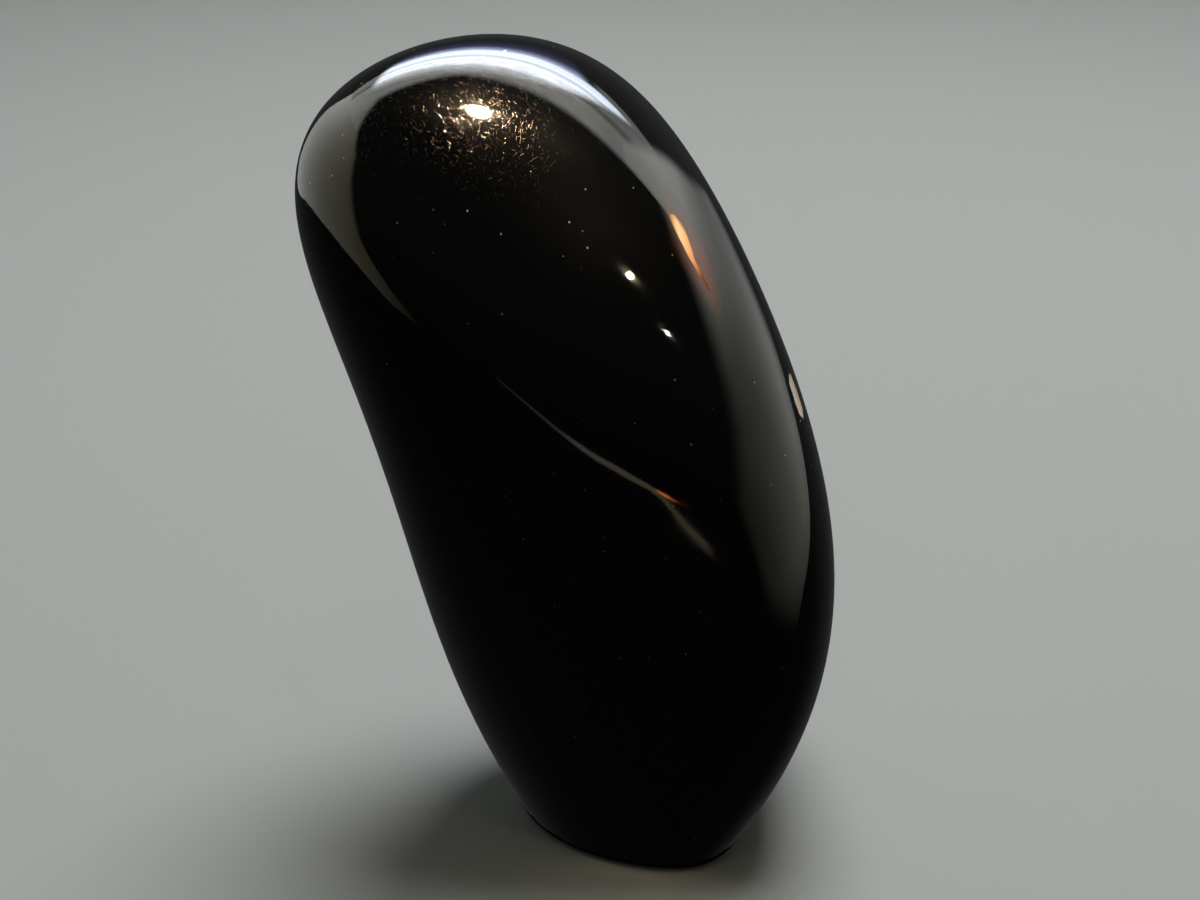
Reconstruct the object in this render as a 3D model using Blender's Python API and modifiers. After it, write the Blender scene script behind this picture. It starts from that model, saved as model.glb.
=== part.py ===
"""Tumbled blue amber: one polished lump that leans a little and stands on a flat ground on its foot.

Metres, +Z up. The front faces -Y. The origin is the centre of the ground flat.
The lump is a sphere of rings drawn out to the stone's own sections: each ring keeps a height, and takes
the half width, half depth, centre and turn that the stone has there. The rings below the flat are cut off.
"""

import math

import bmesh
import bpy
import numpy as np

MM = 0.001
NAME = "tumbled_amber"

# Size over all, and where the foot is ground flat: the angle from the crown, as seen from the middle.
HEIGHT = 100 * MM
RINGS = 50
GROUND_RING = 36
GROUND_ANGLE = math.pi * GROUND_RING / RINGS
HALF_LENGTH = HEIGHT / (1 - math.cos(GROUND_ANGLE))
MIDDLE_HEIGHT = HEIGHT - HALF_LENGTH

# What the sections have at even stations from the foot, which is ground away, up to the crown.
HALF_WIDTHS = (3.5 * MM, 23 * MM, 28 * MM, 31.5 * MM, 44.5 * MM)
HALF_DEPTHS = (16 * MM, 21.5 * MM, 22.5 * MM)
SIDEWAYS = (-2 * MM, 5 * MM, 5 * MM, -5 * MM, -18.5 * MM)
BACKWARDS = (-4 * MM, 7.5 * MM, 11 * MM)
TURNS = (math.radians(-12), math.radians(21.5))

# How a section differs from an ellipse, as shares of its half width or half depth.
SQUARENESS = 0.06
RIGHT_FLATTENING = 0.30
BACK_FLATTENING = 0.10
FRONT_SKEW = 0.085

# The rim of the flat is broken with a small round.
RIM_ROUND = 1.2 * MM
RIM_STEPS = 3
RIM_ANGLE = math.radians(35)
SEGMENTS = 80

DARK_AMBER = (0.012, 0.007, 0.004, 1.0)
POLISH = 0.06
AMBER_IOR = 1.54


def clear_scene():
    for obj in list(bpy.data.objects):
        bpy.data.objects.remove(obj, do_unlink=True)


def new_collection(name):
    collection = bpy.data.collections.new(name)
    bpy.context.scene.collection.children.link(collection)
    return collection


def amber_material():
    material = bpy.data.materials.new("polished_dark_amber")
    material.use_nodes = True
    shader = material.node_tree.nodes["Principled BSDF"]
    shader.inputs["Base Color"].default_value = DARK_AMBER
    shader.inputs["Roughness"].default_value = POLISH
    shader.inputs["Metallic"].default_value = 0.0
    shader.inputs["IOR"].default_value = AMBER_IOR
    return material


def along(level, values):
    """The smooth curve through values set at even stations, from level -1 at the foot to 1 at the crown."""
    stations = np.linspace(-1, 1, len(values))
    return np.polynomial.Polynomial.fit(stations, values, len(values) - 1)(level)


def stone_skin(ball):
    """Points of the unit ball moved to the stone's skin.

    A section is the ball's circle made a little square, stretched to the half width and half depth,
    flattened on its right and at its back, skewed, turned, and set on the leaning centre line.
    """
    x, y, level = ball.T
    square = 1 - SQUARENESS * (x**4 - 6 * x**2 * y**2 + y**4)
    side, depth = x * square, y * square
    across = along(level, HALF_WIDTHS) * (side - RIGHT_FLATTENING * side**2)
    back = along(level, HALF_DEPTHS) * (depth - BACK_FLATTENING * depth**2 + FRONT_SKEW * side * depth)
    turn = along(level, TURNS)
    return np.column_stack(
        (
            across * np.cos(turn) - back * np.sin(turn) + along(level, SIDEWAYS),
            across * np.sin(turn) + back * np.cos(turn) + along(level, BACKWARDS),
            MIDDLE_HEIGHT + HALF_LENGTH * level,
        )
    )


def stone_mesh():
    """The ball of rings, moved to the skin, opened below the ground ring and closed there with the flat."""
    bm = bmesh.new()
    bmesh.ops.create_uvsphere(bm, u_segments=SEGMENTS, v_segments=RINGS, radius=1.0)
    points = stone_skin(np.array([vert.co for vert in bm.verts], np.float64))
    on_flat = np.abs(points[:, 2]) < RIM_ROUND / 100
    foot = points[on_flat]
    points[:, :2] -= (foot.min(axis=0) + foot.max(axis=0))[:2] / 2
    points[on_flat, 2] = 0.0
    for vert, point in zip(bm.verts, points):
        vert.co = point
    ground_away = [vert for vert, point in zip(bm.verts, points) if point[2] < -RIM_ROUND / 100]
    bmesh.ops.delete(bm, geom=ground_away, context="VERTS")
    bmesh.ops.holes_fill(bm, edges=[edge for edge in bm.edges if edge.is_boundary])
    bmesh.ops.recalc_face_normals(bm, faces=bm.faces)
    mesh = bpy.data.meshes.new("amber_stone")
    bm.to_mesh(mesh)
    bm.free()
    mesh.shade_smooth()
    mesh.set_sharp_from_angle(angle=RIM_ANGLE)
    return mesh


def add_stone(parts):
    stone = bpy.data.objects.new("amber_stone", stone_mesh())
    parts.objects.link(stone)
    stone.data.materials.append(amber_material())
    rim = stone.modifiers.new("ground_rim", "BEVEL")
    rim.width = RIM_ROUND
    rim.segments = RIM_STEPS
    rim.limit_method = "ANGLE"
    rim.angle_limit = RIM_ANGLE
    return stone


clear_scene()
add_stone(new_collection(NAME))
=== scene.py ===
"""Tumbled blue amber on a plain floor: one polished, nearly black lump that stands on its ground flat."""

import math

import bpy
import numpy as np
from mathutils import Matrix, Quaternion, Vector


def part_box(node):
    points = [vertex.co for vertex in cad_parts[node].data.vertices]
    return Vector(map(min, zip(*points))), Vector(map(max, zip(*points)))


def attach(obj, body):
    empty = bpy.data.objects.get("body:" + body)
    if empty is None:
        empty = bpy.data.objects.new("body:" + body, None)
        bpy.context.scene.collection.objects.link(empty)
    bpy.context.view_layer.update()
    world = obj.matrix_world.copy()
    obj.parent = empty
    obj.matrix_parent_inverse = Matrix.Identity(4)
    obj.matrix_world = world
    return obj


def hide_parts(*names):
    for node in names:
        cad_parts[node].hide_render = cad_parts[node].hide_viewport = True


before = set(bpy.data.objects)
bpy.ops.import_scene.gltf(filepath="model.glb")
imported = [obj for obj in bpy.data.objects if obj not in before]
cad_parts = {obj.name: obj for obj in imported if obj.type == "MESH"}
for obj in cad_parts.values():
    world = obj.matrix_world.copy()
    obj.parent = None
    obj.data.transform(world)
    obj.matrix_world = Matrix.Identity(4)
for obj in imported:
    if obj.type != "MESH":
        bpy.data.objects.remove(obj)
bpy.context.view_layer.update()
MM = 0.001

# --------------------------------------------------------------------------------------------------
# The amber lump. Fossil resin, tumbled and hand polished to a mirror, with its foot ground flat so that it
# stands. It is one piece: a rounded body that leans to its left, broad in front and flatter on its right.
STONE_LOW, STONE_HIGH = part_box("amber_stone")
HEIGHT = STONE_HIGH[2] - STONE_LOW[2]
STONE_MIDDLE = (0, 0, HEIGHT / 2)
GROUND_ANGLE = math.pi * 36 / 50
HALF_LENGTH = HEIGHT / (1 - math.cos(GROUND_ANGLE))
MIDDLE_HEIGHT = HEIGHT - HALF_LENGTH
# Each list is set at even levels of the ball, from its foot, which the ground flat cuts off, to the crown.
HALF_WIDTHS = (3.5 * MM, 23 * MM, 28 * MM, 31.5 * MM, 44.5 * MM)
HALF_DEPTHS = (16 * MM, 21.5 * MM, 22.5 * MM)
SIDEWAYS = (-2 * MM, 5 * MM, 5 * MM, -5 * MM, -18.5 * MM)
BACKWARDS = (-4 * MM, 7.5 * MM, 11 * MM)
TURNS = (math.radians(-12), math.radians(21.5))
SQUARENESS = 0.06
RIGHT_FLATTENING = 0.30
BACK_FLATTENING = 0.10
FRONT_SKEW = 0.085
RIM_ROUND = 1.2 * MM
SKIN_ROWS, RIM_ROWS, COLUMNS = 250, 10, 360
AMBER_IOR, POLISH = 1.54, 0.035
AMBER_TINT, AMBER_DEPTH, AMBER_DENSITY = "#4A2F18", "#E0A050", 900.0
# A kind of scratch has a length, and the share of its cells that hold one where the wear is worst.
HALF_HAIRLINE, GROOVE_DEPTH = 0.021 * MM, 0.0042 * MM
SCRATCHES = ((0.36 * MM, 0.75), (0.65 * MM, 0.65))
SCRATCH_ROUGHNESS, SCRATCH_METAL = 0.52, 0.9
WORN_MIDDLE, WORN_REACH, LEAST_WORN = (-21 * MM, -3 * MM, 91 * MM), 26 * MM, 0.06
PATCH_SIZE, PATCH_PUSH = 9 * MM, 9 * MM
GLINTS = ("#4C3C10", "#54200C", "#403A34", "#1C4C1C", "#5C1020", "#36343E")
GRAIN_SPACING, GRAIN_RADIUS = 1.9 * MM, 0.24 * MM
DUST_TINT, DUST_ROUGHNESS, DUST_METAL = "#E8E4DC", 0.5, 0.4


def along(level, values):
    """The smooth curve through values set at even stations, from level -1 at the foot to 1 at the crown."""
    stations = np.linspace(-1, 1, len(values))
    return np.polynomial.Polynomial.fit(stations, values, len(values) - 1)(level)


def stone_skin(down, around):
    """The stone's skin over two angles: down from the crown, and around from the right side.

    The two angles give a point of the unit ball. Its circle at that level is made a little square,
    stretched to the half width and half depth there, flattened on the right and at the back, skewed, turned,
    and set on the leaning centre line.
    """
    x, y, level = np.sin(down) * np.cos(around), np.sin(down) * np.sin(around), np.cos(down)
    square = 1 - SQUARENESS * (x**4 - 6 * x**2 * y**2 + y**4)
    side, depth = x * square, y * square
    across = along(level, HALF_WIDTHS) * (side - RIGHT_FLATTENING * side**2)
    back = along(level, HALF_DEPTHS) * (depth - BACK_FLATTENING * depth**2 + FRONT_SKEW * side * depth)
    turn = along(level, TURNS)
    return np.stack(
        (
            across * np.cos(turn) - back * np.sin(turn) + along(level, SIDEWAYS),
            across * np.sin(turn) + back * np.cos(turn) + along(level, BACKWARDS),
            MIDDLE_HEIGHT + HALF_LENGTH * level,
        ),
        axis=-1,
    )


def stone_grid():
    """Rows from the crown down the skin, round the rim and in over the flat, in columns round the stone.

    The rim is a quadratic curve in each column: from the skin, towards the sharp corner, to the flat.
    """
    around = np.linspace(0, 2 * math.pi, COLUMNS, endpoint=False)
    rim_start = math.acos((RIM_ROUND - MIDDLE_HEIGHT) / HALF_LENGTH)
    down = np.linspace(0, rim_start, SKIN_ROWS)[1:]
    skin = stone_skin(*np.meshgrid(down, around, indexing="ij"))
    corner = stone_skin(np.full(COLUMNS, GROUND_ANGLE), around)
    middle = (corner.min(axis=0) + corner.max(axis=0)) / 2
    inwards = middle - corner
    flat = corner + inwards * RIM_ROUND / np.linalg.norm(inwards, axis=-1, keepdims=True)
    t = np.linspace(0, 1, RIM_ROWS)[1:, None, None]
    rim = (1 - t) ** 2 * skin[-1] + 2 * t * (1 - t) * corner + t**2 * flat
    rim[-1, :, 2] = 0.0
    points = np.concatenate((skin, rim))
    points[..., :2] -= middle[:2]
    crown = stone_skin(np.zeros(1), np.zeros(1))[0] - (middle[0], middle[1], 0)
    return points, crown


def closed_mesh(name, grid, first, last):
    """A mesh of the grid's quads, closed on top by a fan to the point first and below by one to last."""
    rows, columns = grid.shape[:2]
    ring = np.arange(columns)
    after = np.roll(ring, -1)
    row = np.arange(rows - 1)[:, None] * columns
    quads = np.stack((row + ring, row + columns + ring, row + columns + after, row + after), axis=-1)
    top, bottom = rows * columns, rows * columns + 1
    low = (rows - 1) * columns
    fans = np.concatenate(
        (
            np.column_stack((np.full(columns, top), ring, after)),
            np.column_stack((np.full(columns, bottom), low + after, low + ring)),
        )
    )
    mesh = bpy.data.meshes.new(name)
    points = np.concatenate((grid.reshape(-1, 3), (first, last)))
    mesh.from_pydata(points.tolist(), [], quads.reshape(-1, 4).tolist() + fans.tolist())
    mesh.shade_smooth()
    return mesh


grid, crown = stone_grid()
stone = bpy.data.objects.new("polished_amber", closed_mesh("polished_amber", grid, crown, (0.0, 0.0, 0.0)))
bpy.context.scene.collection.objects.link(stone)


def linear(hex_colour):
    """An sRGB hex colour as linear red, green, blue and a full alpha."""
    parts = [int(hex_colour[i : i + 2], 16) / 255 for i in (1, 3, 5)]
    return [p / 12.92 if p <= 0.04045 else ((p + 0.055) / 1.055) ** 2.4 for p in parts] + [1.0]


def add_node(tree, kind, inputs=(), **settings):
    """One shader node: its settings, then its inputs, each a value or another node's output socket."""
    node = tree.nodes.new(kind)
    for key, value in settings.items():
        setattr(node, key, value)
    for key, value in dict(inputs).items():
        if isinstance(value, bpy.types.NodeSocket):
            tree.links.new(value, node.inputs[key])
        else:
            node.inputs[key].default_value = value
    return node


def polished_amber():
    """Amber with a hand polish: a clear resin so deeply coloured that only its reflections show.

    Each hairline scratch is the cut of the skin with a plane that stands on it, at a random turn, through
    the middle of a random cell. Real ones are about 0.02 mm wide, and these are twice that so that they
    show. They split the lamp's light into gold, copper, red and green, which a dark tinted metal stands for.
    Pits and dust are specks in the middles of larger cells.
    """
    material = bpy.data.materials.new("polished_dark_amber")
    material.use_nodes = True
    tree = material.node_tree
    tree.nodes.clear()
    place = add_node(tree, "ShaderNodeTexCoord").outputs["Object"]
    # The front of the crown, which a thumb rubs, is worn more than the rest, and unevenly.
    away = add_node(tree, "ShaderNodeVectorMath", {0: place, 1: WORN_MIDDLE}, operation="DISTANCE")
    patches = {"Vector": place, "Scale": 1 / PATCH_SIZE, "Detail": 1.0}
    patches = add_node(tree, "ShaderNodeTexNoise", patches)
    away = add_node(
        tree,
        "ShaderNodeMath",
        {0: patches.outputs[0], 1: PATCH_PUSH, 2: away.outputs["Value"]},
        operation="MULTIPLY_ADD",
    )
    worn = add_node(
        tree,
        "ShaderNodeMapRange",
        {
            "Value": away.outputs[0],
            "From Min": PATCH_PUSH / 2,
            "From Max": PATCH_PUSH / 2 + WORN_REACH,
            "To Min": 1.0,
            "To Max": LEAST_WORN,
        },
        interpolation_type="SMOOTHSTEP",
    ).outputs[0]
    marks, tint = 0.0, None
    for length, share in SCRATCHES:
        cells = add_node(tree, "ShaderNodeTexVoronoi", {"Vector": place, "Scale": 1 / length})
        seed, chance = cells.outputs["Position"], cells.outputs["Color"]
        past = add_node(tree, "ShaderNodeVectorMath", {0: place, 1: seed}, operation="SUBTRACT")
        outwards = add_node(tree, "ShaderNodeVectorMath", {0: seed, 1: STONE_MIDDLE}, operation="SUBTRACT")
        turn = add_node(tree, "ShaderNodeVectorMath", {0: chance, 1: (0.5, 0.5, 0.5)}, operation="SUBTRACT")
        across = {0: turn.outputs[0], 1: outwards.outputs[0]}
        across = add_node(tree, "ShaderNodeVectorMath", across, operation="CROSS_PRODUCT")
        across = add_node(tree, "ShaderNodeVectorMath", {0: across.outputs[0]}, operation="NORMALIZE")
        off = {0: past.outputs[0], 1: across.outputs[0]}
        off = add_node(tree, "ShaderNodeVectorMath", off, operation="DOT_PRODUCT")
        off = add_node(tree, "ShaderNodeMath", {0: off.outputs["Value"]}, operation="ABSOLUTE")
        line = add_node(
            tree,
            "ShaderNodeMapRange",
            {"Value": off.outputs[0], "From Max": HALF_HAIRLINE, "To Min": 1.0, "To Max": 0.0},
            interpolation_type="SMOOTHSTEP",
        )
        luck = add_node(tree, "ShaderNodeTexWhiteNoise", {"Vector": seed})
        kept = add_node(tree, "ShaderNodeMath", {0: worn, 1: share}, operation="MULTIPLY")
        kept = add_node(
            tree,
            "ShaderNodeMath",
            {0: kept.outputs[0], 1: luck.outputs["Value"]},
            operation="SUBTRACT",
            use_clamp=True,
        )
        line = {0: line.outputs[0], 1: kept.outputs[0]}
        line = add_node(tree, "ShaderNodeMath", line, operation="MULTIPLY")
        marks = {0: marks, 1: line.outputs[0]}
        marks = add_node(tree, "ShaderNodeMath", marks, operation="MAXIMUM").outputs[0]
        # The short scratches' luck picks the tint of the long ones too, so it changes along them.
        tint = tint or luck.outputs["Color"]
    tint = add_node(tree, "ShaderNodeSeparateColor", {0: tint})
    split = add_node(tree, "ShaderNodeValToRGB", {"Fac": tint.outputs[0]})
    split.color_ramp.interpolation = "CONSTANT"
    while len(split.color_ramp.elements) < len(GLINTS):
        split.color_ramp.elements.new(0.5)
    for number, glint in enumerate(GLINTS):
        split.color_ramp.elements[number].position = number / len(GLINTS)
        split.color_ramp.elements[number].color = linear(glint)
    grains = add_node(tree, "ShaderNodeTexVoronoi", {"Vector": place, "Scale": 1 / GRAIN_SPACING})
    size = add_node(tree, "ShaderNodeSeparateColor", {0: grains.outputs["Color"]})
    size = {0: size.outputs[0], 1: GRAIN_RADIUS / GRAIN_SPACING}
    size = add_node(tree, "ShaderNodeMath", size, operation="MULTIPLY")
    speck = {"Value": grains.outputs["Distance"], "From Max": size.outputs[0], "To Min": 1.0, "To Max": 0.0}
    speck = add_node(tree, "ShaderNodeMapRange", speck).outputs[0]
    colour = linear(AMBER_TINT)
    for share, hue in ((marks, split.outputs[0]), (speck, linear(DUST_TINT))):
        mixed = add_node(tree, "ShaderNodeMix", {"Factor": share, 6: colour, 7: hue}, data_type="RGBA")
        colour = mixed.outputs[2]
    rough = {"Value": marks, "To Min": POLISH, "To Max": SCRATCH_ROUGHNESS}
    rough = add_node(tree, "ShaderNodeMapRange", rough)
    rough = {0: speck, 1: DUST_ROUGHNESS, 2: rough.outputs[0]}
    rough = add_node(tree, "ShaderNodeMath", rough, operation="MULTIPLY_ADD")
    metal = add_node(tree, "ShaderNodeMath", {0: marks, 1: SCRATCH_METAL}, operation="MULTIPLY")
    metal = {0: speck, 1: DUST_METAL, 2: metal.outputs[0]}
    metal = add_node(tree, "ShaderNodeMath", metal, operation="MULTIPLY_ADD")
    dents = add_node(tree, "ShaderNodeBump", {"Height": marks, "Distance": GROOVE_DEPTH}, invert=True)
    shader = add_node(
        tree,
        "ShaderNodeBsdfPrincipled",
        {
            "Base Color": colour,
            "Metallic": metal.outputs[0],
            "Roughness": rough.outputs[0],
            "Normal": dents.outputs[0],
            "IOR": AMBER_IOR,
            "Transmission Weight": 1.0,
        },
    )
    inside = {"Color": linear(AMBER_DEPTH), "Density": AMBER_DENSITY}
    inside = add_node(tree, "ShaderNodeVolumeAbsorption", inside)
    add_node(tree, "ShaderNodeOutputMaterial", {"Surface": shader.outputs[0], "Volume": inside.outputs[0]})
    return material


stone.data.materials.append(polished_amber())
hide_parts("amber_stone")
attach(stone, "root")

# --------------------------------------------------------------------------------------------------
# The floor: a wide sheet of plain matt paper, which is staging and not part of the stone. It stays out of
# the polish, which mirrors only the studio.
FLOOR_HALF = 3.0


def plain_sheet(name, corners, material):
    """A flat sheet through its corners, which are listed round its edge."""
    mesh = bpy.data.meshes.new(name)
    mesh.from_pydata(corners, [], [tuple(range(len(corners)))])
    mesh.materials.append(material)
    sheet = bpy.data.objects.new(name, mesh)
    bpy.context.scene.collection.objects.link(sheet)
    return sheet


def matt_surface(name, hex_colour):
    """A matt surface with no shine: uncoated paper, so that the floor stays an even ground, and the black of
    the painted shade round the stone's foot.
    """
    material = bpy.data.materials.new(name)
    material.use_nodes = True
    shader = material.node_tree.nodes["Principled BSDF"]
    shader.inputs["Base Color"].default_value = linear(hex_colour)
    shader.inputs["Roughness"].default_value = 0.9
    shader.inputs["Specular IOR Level"].default_value = 0.1
    return material


floor = plain_sheet(
    "floor",
    [(x * FLOOR_HALF, y * FLOOR_HALF, 0) for x, y in ((-1, -1), (1, -1), (1, 1), (-1, 1))],
    matt_surface("matt_grey_paper", "#BEC1BE"),
)
floor.visible_glossy = False

# --------------------------------------------------------------------------------------------------
# The studio: a light tent round the stone, open in front and behind: two soft white walls, and a roof with
# a lamp box over its rear half. The sheets are only there for the stone's polish, which mirrors them: they
# are emission that fades out past soft edges, and the floor has a lamp of its own.
WALL_AWAY = 0.43
ROOF = 0.56
SHEET_GAP = 0.001


def ramp_along(tree, value, stops, most):
    """A colour ramp over a value's stops (place, hex tint, radiance), each radiance as a share of most."""
    first, last = stops[0][0], stops[-1][0]
    share = add_node(tree, "ShaderNodeMapRange", {"Value": value, "From Min": first, "From Max": last})
    ramp = add_node(tree, "ShaderNodeValToRGB", {"Fac": share.outputs[0]})
    elements = ramp.color_ramp.elements
    while len(elements) < len(stops):
        elements.new(0.5)
    for element, (place, tint, radiance) in zip(elements, stops):
        element.position = (place - first) / (last - first)
        element.color = [part * radiance / most for part in linear(tint)[:3]] + [1.0]
    return ramp.outputs[0]


def glow(name, along, up, corners=(), added=False):
    """A light with radiance set along one axis, times a gain set along a second, clear past its edges.

    along is an axis and its stops (place, hex tint, radiance). up is an axis and its stops (place, gain). An
    edge is a point of that plane, a direction in it that points out of the sheet, and the width that it
    fades over. The edges of one corner join so that the sheet keeps what any of them keeps, and each further
    corner cuts it again. An added light lets all that is behind it through.
    """
    material = bpy.data.materials.new(name)
    material.use_nodes = True
    material.cycles.emission_sampling = "NONE"
    tree = material.node_tree
    tree.nodes.clear()
    spot = add_node(tree, "ShaderNodeTexCoord")
    split = add_node(tree, "ShaderNodeSeparateXYZ", {0: spot.outputs["Object"]})
    first, second = split.outputs[along[0]], split.outputs[up[0]]
    most = max(stop[2] for stop in along[1])
    gain = max(stop[1] for stop in up[1])
    colour = ramp_along(tree, first, along[1], most)
    shade = ramp_along(tree, second, [(place, "#FFFFFF", share) for place, share in up[1]], gain)
    kept = 1.0
    for edges in corners:
        corner = 0.0
        for (start, level), (out_first, out_second), width in edges:
            length = math.hypot(out_first, out_second)
            out_first, out_second = out_first / length, out_second / length
            part = add_node(tree, "ShaderNodeMath", {0: first, 1: out_first}, operation="MULTIPLY")
            part = {0: second, 1: out_second, 2: part.outputs[0]}
            part = add_node(tree, "ShaderNodeMath", part, operation="MULTIPLY_ADD")
            edge = start * out_first + level * out_second
            fade = add_node(
                tree,
                "ShaderNodeMapRange",
                {
                    "Value": part.outputs[0],
                    "From Min": edge - width / 2,
                    "From Max": edge + width / 2,
                    "To Min": 1.0,
                    "To Max": 0.0,
                },
                interpolation_type="SMOOTHSTEP",
            ).outputs[0]
            corner = add_node(tree, "ShaderNodeMath", {0: corner, 1: fade}, operation="MAXIMUM").outputs[0]
        kept = add_node(tree, "ShaderNodeMath", {0: kept, 1: corner}, operation="MINIMUM").outputs[0]
    strength = add_node(tree, "ShaderNodeMath", {0: shade, 1: most * gain}, operation="MULTIPLY").outputs[0]
    light = add_node(tree, "ShaderNodeEmission", {"Color": colour, "Strength": strength}).outputs[0]
    clear = add_node(tree, "ShaderNodeBsdfTransparent").outputs[0]
    if added:
        light = add_node(tree, "ShaderNodeAddShader", {0: clear, 1: light}).outputs[0]
    if corners:
        light = add_node(tree, "ShaderNodeMixShader", {0: kept, 1: clear, 2: light}).outputs[0]
    add_node(tree, "ShaderNodeOutputMaterial", {"Surface": light})
    return material


def tent_sheet(name, corners, material):
    """A sheet of the tent, which shows in the stone's polish alone."""
    sheet = plain_sheet(name, corners, material)
    sheet.visible_camera = False
    sheet.visible_diffuse = False
    sheet.visible_shadow = False
    return sheet


LEFT_WALL = (
    (-0.42, -0.003), (-0.25, 0.02), (-0.12, 0.033), (0.02, 0.033), (0.12, 0.022), (0.22, 0.0),
    (0.36, -0.022), (0.44, -0.02), (0.5, 0.02), (0.45, 0.1), (0.405, 0.2), (0.36, 0.3), (0.315, 0.38),
    (0.27, 0.46), (0.255, 0.56), (-0.34, 0.56), (-0.42, 0.5),
)  # fmt: skip
tent_sheet(
    "left_wall",
    [(-WALL_AWAY, y, z) for y, z in LEFT_WALL],
    glow(
        "left_wall_glow",
        (
            "Y",
            (
                (-0.42, "#D8CBA0", 0.45),
                (-0.34, "#DCD4B0", 0.58),
                (-0.20, "#E6E2CA", 0.86),
                (-0.10, "#F0EEDC", 1.05),
                (0.0, "#F6F6EC", 1.36),
                (0.10, "#F8FAF6", 1.55),
                (0.20, "#F8FAF6", 1.62),
                (0.35, "#F8FAF6", 1.35),
                (0.55, "#F8FAF6", 0.90),
            ),
        ),
        ("Z", ((-0.03, 0.85), (0.1, 1.0), (0.25, 1.38), (0.35, 1.75), (0.45, 2.2), (0.56, 2.4))),
        ((((-0.35, 0.3), (-1.0, 0.0), 0.05),), (((-0.34, 0.45), (-1.0, 0.6), 0.06),)),
    ),
)
LEFT_FOOT = ((-0.62, -0.01), (-0.42, -0.004), (-0.31, 0.012), (-0.31, 0.13), (-0.40, 0.06), (-0.48, 0.025))
tent_sheet(
    "left_wall_foot",
    [(2 * SHEET_GAP - WALL_AWAY, y, z) for y, z in LEFT_FOOT],
    glow(
        "left_foot_glow",
        (
            "Y",
            (
                (-0.62, "#C8C4A0", 0.06),
                (-0.48, "#D4D0B0", 0.28),
                (-0.40, "#DCD8B8", 0.42),
                (-0.31, "#DCD4B0", 0.60),
            ),
        ),
        ("Z", ((0.0, 1.0), (0.1, 1.0))),
        ((((-0.33, 0.08), (1.0, 0.3), 0.05),),),
    ),
)
RIGHT_WALL = (
    (-1.3, -0.5), (-1.0, -0.43), (-0.75, -0.36), (-0.6, -0.31), (-0.45, -0.25), (-0.36, -0.18),
    (-0.29, -0.12), (-0.21, -0.075), (-0.1, -0.037), (0.0, -0.01), (0.12, 0.017), (0.3, 0.048),
    (0.45, 0.04), (0.85, 0.0), (0.77, 0.12), (0.67, 0.2), (0.53, 0.29), (0.45, 0.34), (0.33, 0.45),
    (0.25, 0.52), (0.23, 0.56), (-0.1, 0.56), (-1.3, 0.0),
)  # fmt: skip
tent_sheet(
    "right_wall",
    [(WALL_AWAY, y, z) for y, z in RIGHT_WALL],
    glow(
        "right_wall_glow",
        (
            "Y",
            (
                (-1.3, "#D0CCAC", 0.02),
                (-1.05, "#D8D4B8", 0.20),
                (-0.75, "#E0DEC4", 0.33),
                (-0.60, "#E8E8D2", 0.40),
                (-0.45, "#EAEAD6", 0.55),
                (-0.30, "#EEF0DC", 0.75),
                (-0.15, "#F0F2E2", 0.97),
                (0.0, "#F4F4E6", 1.36),
                (0.15, "#F8F8F0", 1.52),
                (0.30, "#F8F8F4", 1.30),
                (0.45, "#F8F8F4", 0.95),
                (0.80, "#F8F8F4", 0.70),
            ),
        ),
        (
            "Z",
            (
                (-0.3, 1.0),
                (0.1, 1.0),
                (0.2, 0.75),
                (0.25, 0.8),
                (0.3, 1.2),
                (0.35, 2.0),
                (0.42, 2.3),
                (0.56, 2.1),
            ),
        ),
        (
            (((-0.6, 0.18), (-0.4, 1.0), 0.1), ((-0.01, 0.5), (-1.0, 0.0), 0.03)),
            (((0.24, 0.425), (0.88, 1.0), 0.07), ((0.57, 0.18), (0.54, 1.0), 0.05)),
            (((-0.6, -0.165), (0.25, -1.0), 0.17),),
        ),
    ),
)
ROOF_SHEET = (
    (-0.45, -0.35), (-0.3, -0.16), (-0.2, -0.08), (-0.1, -0.03), (0.0, 0.0), (0.1, 0.005), (0.2, -0.01),
    (0.3, -0.03), (0.64, -0.03), (0.64, 0.38), (0.3, 0.42), (-0.25, 0.30), (-0.45, 0.26),
)  # fmt: skip
tent_sheet(
    "roof",
    [(x, y, ROOF) for x, y in ROOF_SHEET],
    glow(
        "roof_glow",
        (
            "X",
            (
                (-0.45, "#F6F8F0", 3.7),
                (-0.25, "#F4F6EE", 3.0),
                (0.0, "#F4F4EC", 3.3),
                (0.30, "#F4F4EC", 3.3),
                (0.38, "#F4F6F2", 2.45),
                (0.45, "#F4F8F6", 2.2),
                (0.64, "#F4F8F6", 2.6),
            ),
        ),
        (
            "Y",
            (
                (-0.33, 0.5),
                (-0.15, 0.65),
                (0.0, 1.0),
                (0.125, 1.0),
                (0.145, 0.45),
                (0.165, 0.45),
                (0.19, 0.8),
                (0.3, 0.6),
            ),
        ),
        (
            (
                ((-0.3, -0.11), (1.15, -1.0), 0.05),
                ((-0.1, 0.008), (0.35, -1.0), 0.05),
                ((0.2, 0.015), (-0.14, -1.0), 0.05),
            ),
            (((0.55, 0.31), (0.0, 1.0), 0.08), ((0.36, 0.3), (-1.0, 0.0), 0.06)),
        ),
    ),
)
LAMP_BOX = ((-0.40, 0.03), (0.36, 0.03), (0.50, 0.22), (0.50, 0.36), (0.30, 0.75), (-0.40, 0.75))
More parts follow.
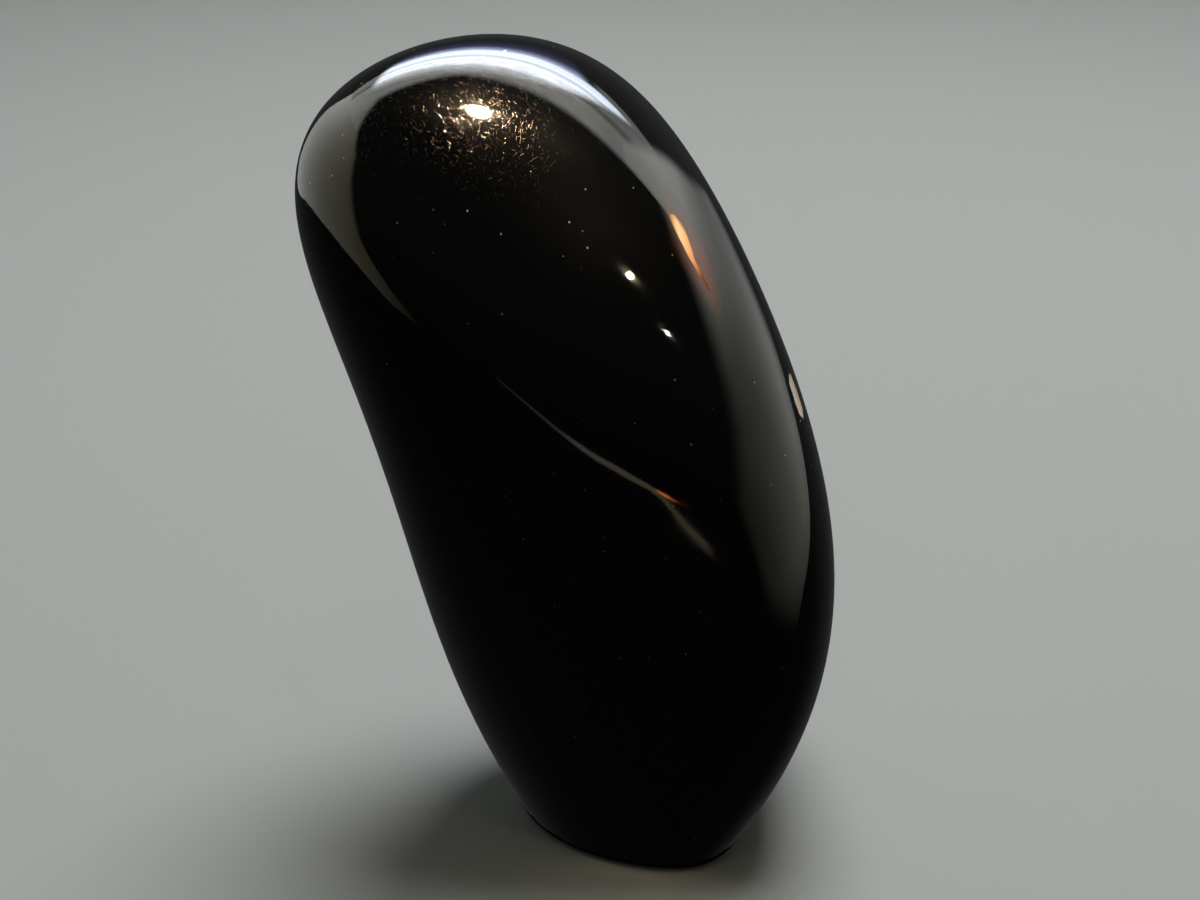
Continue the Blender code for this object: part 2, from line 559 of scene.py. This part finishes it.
tent_sheet(
    "lamp_box",
    [(x, y, ROOF - 4 * SHEET_GAP) for x, y in LAMP_BOX],
    glow(
        "lamp_box_glow",
        (
            "Y",
            (
                (0.03, "#F4F6F2", 3.0),
                (0.06, "#F4F6F4", 4.2),
                (0.09, "#F2F8F8", 7.0),
                (0.12, "#EEF6FC", 11.0),
                (0.15, "#F2F8FF", 21.0),
                (0.175, "#ECF4FF", 17.0),
                (0.20, "#F2F8FF", 22.0),
                (0.232, "#E0EAFF", 12.0),
                (0.265, "#EAF4FF", 20.0),
                (0.285, "#E4F0FF", 15.0),
                (0.305, "#E4EEFF", 18.0),
                (0.345, "#D0DAFC", 7.0),
                (0.38, "#C4CCFA", 4.0),
                (0.41, "#B4BAF4", 1.8),
                (0.45, "#B0B4EE", 0.8),
                (0.55, "#BCC0EC", 0.35),
                (0.75, "#C4C8EC", 0.15),
            ),
        ),
        (
            "X",
            (
                (-0.4, 0.2),
                (-0.34, 0.45),
                (-0.29, 0.8),
                (-0.22, 0.9),
                (0.1, 1.0),
                (0.3, 0.9),
                (0.44, 0.8),
                (0.56, 0.2),
            ),
        ),
        (
            (((0.167, 0.29), (-1.0, 0.77), 0.055),),
            (((0.03, -0.2), (-1.0, 0.1), 0.03),),
            (((0.14, -0.275), (0.1, -1.0), 0.05),),
            (((0.335, 0.36), (1.0, 0.15), 0.04), ((0.35, 0.31), (0.1, 1.0), 0.06)),
        ),
    ),
)
# In front hangs a thin bright hem, which bends down at its right, with a warm spark on the bend.
FRONT_AWAY = 0.45
FRONT_HEM = (
    (-0.12, 0.036, 0.001), (-0.065, 0.024, 0.002), (-0.02, 0.011, 0.003), (0.022, 0.0, 0.004),
    (0.06, -0.008, 0.0045), (0.086, -0.017, 0.0035), (0.092, -0.026, 0.0018), (0.092, -0.040, 0.0011),
    (0.088, -0.06, 0.0012), (0.083, -0.075, 0.0001),
)  # fmt: skip


def ribbon(line):
    """The outline of a flat ribbon along a line of (first, second, half width)."""
    points = np.array(line)
    ahead = np.gradient(points[:, :2], axis=0)
    ahead /= np.linalg.norm(ahead, axis=1, keepdims=True)
    aside = np.column_stack((-ahead[:, 1], ahead[:, 0])) * points[:, 2:]
    return np.concatenate((points[:, :2] + aside, (points[:, :2] - aside)[::-1])).tolist()


tent_sheet(
    "front_hem",
    [(x, -FRONT_AWAY, z) for x, z in ribbon(FRONT_HEM)],
    glow(
        "front_hem_glow",
        (
            "X",
            (
                (-0.12, "#E0DCCC", 0.35),
                (-0.02, "#E0DED0", 0.5),
                (0.0, "#E4E4DC", 0.85),
                (0.05, "#E4DCC0", 0.95),
                (0.1, "#E4D0A8", 1.15),
            ),
        ),
        ("Z", ((-0.08, 0.8), (-0.05, 1.0), (0.03, 1.0))),
    ),
)
FRONT_SPARK = ((0.09, -0.017), (0.0925, -0.0175), (0.0985, -0.0235), (0.0965, -0.0245), (0.0905, -0.0195))
tent_sheet(
    "front_spark",
    [(x, SHEET_GAP - FRONT_AWAY, z) for x, z in FRONT_SPARK],
    glow(
        "front_spark_glow",
        ("X", ((0.089, "#D05020", 4.0), (0.094, "#FF9850", 11.0), (0.099, "#D05020", 4.0))),
        ("Z", ((-0.03, 1.0), (-0.01, 1.0))),
    ),
)
# A pale spot low down at the right, to the rear, shows at the very edge of the stone.
EDGE_SPOT = (
    (0.41, 0.003), (0.54, -0.045), (0.66, -0.1), (0.7, -0.14),
    (0.67, -0.147), (0.515, -0.085), (0.4, -0.027), (0.385, -0.008),
)  # fmt: skip
tent_sheet(
    "edge_spot",
    [(WALL_AWAY, y, z) for y, z in EDGE_SPOT],
    glow(
        "edge_spot_glow",
        (
            "Y",
            ((0.38, "#F0DCC8", 2.6), (0.46, "#F0DCC8", 2.2), (0.56, "#F0DCC8", 1.4), (0.7, "#F0DCC8", 0.9)),
        ),
        ("Z", ((-0.15, 1.0), (0.0, 1.0))),
    ),
)
# A warm lamp hangs just inside the right wall, with a redder glow round it.
WARM_LAMP = (
    (-0.018, 0.415), (0.022, 0.395), (0.03, 0.372), (0.008, 0.362), (-0.023, 0.356), (-0.055, 0.351),
    (-0.066, 0.33), (-0.084, 0.313), (-0.098, 0.32), (-0.092, 0.348), (-0.084, 0.37), (-0.062, 0.389),
    (-0.045, 0.403),
)  # fmt: skip
tent_sheet(
    "warm_lamp",
    [(WALL_AWAY - 3 * SHEET_GAP, y, z) for y, z in WARM_LAMP],
    glow(
        "warm_lamp_glow",
        (
            "Z",
            (
                (0.31, "#D07848", 4.5),
                (0.335, "#E08044", 7.0),
                (0.355, "#FFAC68", 18.0),
                (0.39, "#FFCC90", 24.0),
                (0.415, "#F08840", 8.0),
            ),
        ),
        ("Y", ((-0.1, 0.8), (-0.06, 1.0), (0.0, 1.0), (0.03, 0.3))),
    ),
)
WARM_HALO = ((-0.19, 0.28), (0.12, 0.28), (0.12, 0.43), (-0.19, 0.43))
tent_sheet(
    "warm_lamp_halo",
    [(WALL_AWAY - 2 * SHEET_GAP, y, z) for y, z in WARM_HALO],
    glow(
        "warm_lamp_halo_glow",
        (
            "Y",
            (
                (-0.19, "#904028", 0.0),
                (-0.13, "#C86838", 2.0),
                (-0.07, "#D86838", 2.6),
                (0.02, "#C84830", 2.8),
                (0.12, "#903828", 0.0),
            ),
        ),
        ("Z", ((0.28, 0.0), (0.32, 0.9), (0.35, 1.0), (0.38, 0.8), (0.43, 0.0))),
        added=True,
    ),
)
# The floor close to the stone lies in its shade. There a black sheet, seen in the polish alone, is painted
# shade, so that the polish mirrors a dark floor.
FOOT_SHADE, FLOOR_GAP = 1.16, 0.3 * MM
# Painted shade: a black sheet round the foot that only the polish sees.
tent_sheet(
    "foot_shade",
    [(x * FOOT_SHADE, y * FOOT_SHADE, FLOOR_GAP) for x, y, _ in grid[-1, ::15].tolist()],
    matt_surface("painted_foot_shade_black", "#020202"),
)
# Round the lamps hangs a faint painted glow, which the polish mirrors as the haze round its highlights: a
# glow that falls off from its middle in steps of its width.
HALO_SIDE = ((3.4, 0.0), (2.2, 0.03), (1.4, 0.12), (0.8, 0.4))
HALO = [(-step, share) for step, share in HALO_SIDE] + [(0.0, 1.0)] + list(HALO_SIDE[::-1])
HALOS = (
    ((0.04, -0.16), (0.085, 0.11), "#FFE0BC", 1.3),
    ((0.21, -0.16), (0.09, 0.13), "#FFE8CC", 0.3),
    ((0.32, -0.42), (0.2, 0.4), "#FFE0B8", 0.14),
)
# Each sheet is a painted haze round a lamp, seen in the polish alone.
for number, ((x, y), (wide, long), tint, most) in enumerate(HALOS):
    reach_x, reach_y = wide * HALO[-1][0], long * HALO[-1][0]
    level = ROOF - (6 + number) * SHEET_GAP
    tent_sheet(
        f"painted_lamp_haze_{number}",
        [(x + a * reach_x, y + b * reach_y, level) for a, b in ((-1, -1), (1, -1), (1, 1), (-1, 1))],
        glow(
            f"painted_lamp_haze_{number}_glow",
            ("X", [(x + wide * step, tint, most * share) for step, share in HALO]),
            ("Y", [(y + long * step, share) for step, share in HALO]),
            added=True,
        ),
    )


def soft_lamp(name, place, sizes, power, roll=0.0):
    """An oval area lamp at place that faces the stone, with its width rolled by an angle from the level."""
    data = bpy.data.lights.new(name, "AREA")
    data.shape = "ELLIPSE"
    data.size, data.size_y = sizes
    data.energy = power
    lamp = bpy.data.objects.new(name, data)
    lamp.location = place
    lamp.rotation_mode = "QUATERNION"
    facing = (Vector(STONE_MIDDLE) - Vector(place)).to_track_quat("-Z", "Y")
    lamp.rotation_quaternion = facing @ Quaternion((0, 0, 1), math.radians(roll))
    bpy.context.scene.collection.objects.link(lamp)
    return lamp


floor_light = soft_lamp("floor_light", (0.1, 0.25, 0.9), (0.5, 0.5), 6.0)
floor_light.visible_glossy = False
floor_light.visible_transmission = False


def lamp_in_polish(name, place, sizes, power, tint, roll=0.0):
    """A small lamp that shows in the polish only."""
    lamp = soft_lamp(name, place, sizes, power, roll)
    lamp.data.color = linear(tint)[:3]
    lamp.visible_diffuse = False
    return lamp


lamp_in_polish("key_lamp", (0.056, -0.165, ROOF), (0.054, 0.054), 7.0, "#FFE8C0")
lamp_in_polish("small_lamp", (0.474, -0.695, ROOF), (0.045, 0.011), 0.5, "#FFE8C0", 31.0)
lamp_in_polish("far_lamp", (WALL_AWAY, -0.675, 0.376), (0.018, 0.006), 0.06, "#FFF4E4", 31.0)

# The dark room beyond the tent is a little lighter at the rear, and higher up.
ROOM_FRONT, ROOM_REAR = 0.025, 0.07
ROOM_LOW, ROOM_HIGH = 0.8, 1.7
world = bpy.data.worlds.new("dark_room")
bpy.context.scene.world = world
world.use_nodes = True
sky = world.node_tree
way = add_node(sky, "ShaderNodeTexCoord")
split = add_node(sky, "ShaderNodeSeparateXYZ", {0: way.outputs["Generated"]})
rear = add_node(
    sky,
    "ShaderNodeMapRange",
    {
        "Value": split.outputs["Y"],
        "From Min": -0.5,
        "From Max": 0.5,
        "To Min": ROOM_FRONT,
        "To Max": ROOM_REAR,
    },
    interpolation_type="SMOOTHSTEP",
)
over = add_node(
    sky,
    "ShaderNodeMapRange",
    {
        "Value": split.outputs["Z"],
        "From Min": -0.1,
        "From Max": 0.3,
        "To Min": ROOM_LOW,
        "To Max": ROOM_HIGH,
    },
)
dim = add_node(sky, "ShaderNodeMath", {0: rear.outputs[0], 1: over.outputs[0]}, operation="MULTIPLY")
sky.links.new(dim.outputs[0], sky.nodes["Background"].inputs["Strength"])
sky.nodes["Background"].inputs["Color"].default_value = linear("#EEF6F0")

# --------------------------------------------------------------------------------------------------
# The camera looks down on the stone's front from a hand's distance. The standard view transform leaves
# the lamps' bright middles white, as a camera does.
LENS, SENSOR = 50.0, 36.0
LOOK_DOWN = math.radians(25.8)
LOOK_AT = (-4.6 * MM, 0.0, 52.7 * MM)
DISTANCE = 201.4 * MM
camera_data = bpy.data.cameras.new("camera")
camera_data.lens = LENS
camera_data.sensor_width = SENSOR
camera_data.sensor_fit = "HORIZONTAL"
camera_data.clip_start = 0.01
camera = bpy.data.objects.new("camera", camera_data)
camera.location = (
    LOOK_AT[0],
    LOOK_AT[1] - DISTANCE * math.cos(LOOK_DOWN),
    LOOK_AT[2] + DISTANCE * math.sin(LOOK_DOWN),
)
camera.rotation_euler = (math.pi / 2 - LOOK_DOWN, 0, 0)
bpy.context.scene.collection.objects.link(camera)
bpy.context.scene.camera = camera
bpy.context.scene.view_settings.view_transform = "Standard"
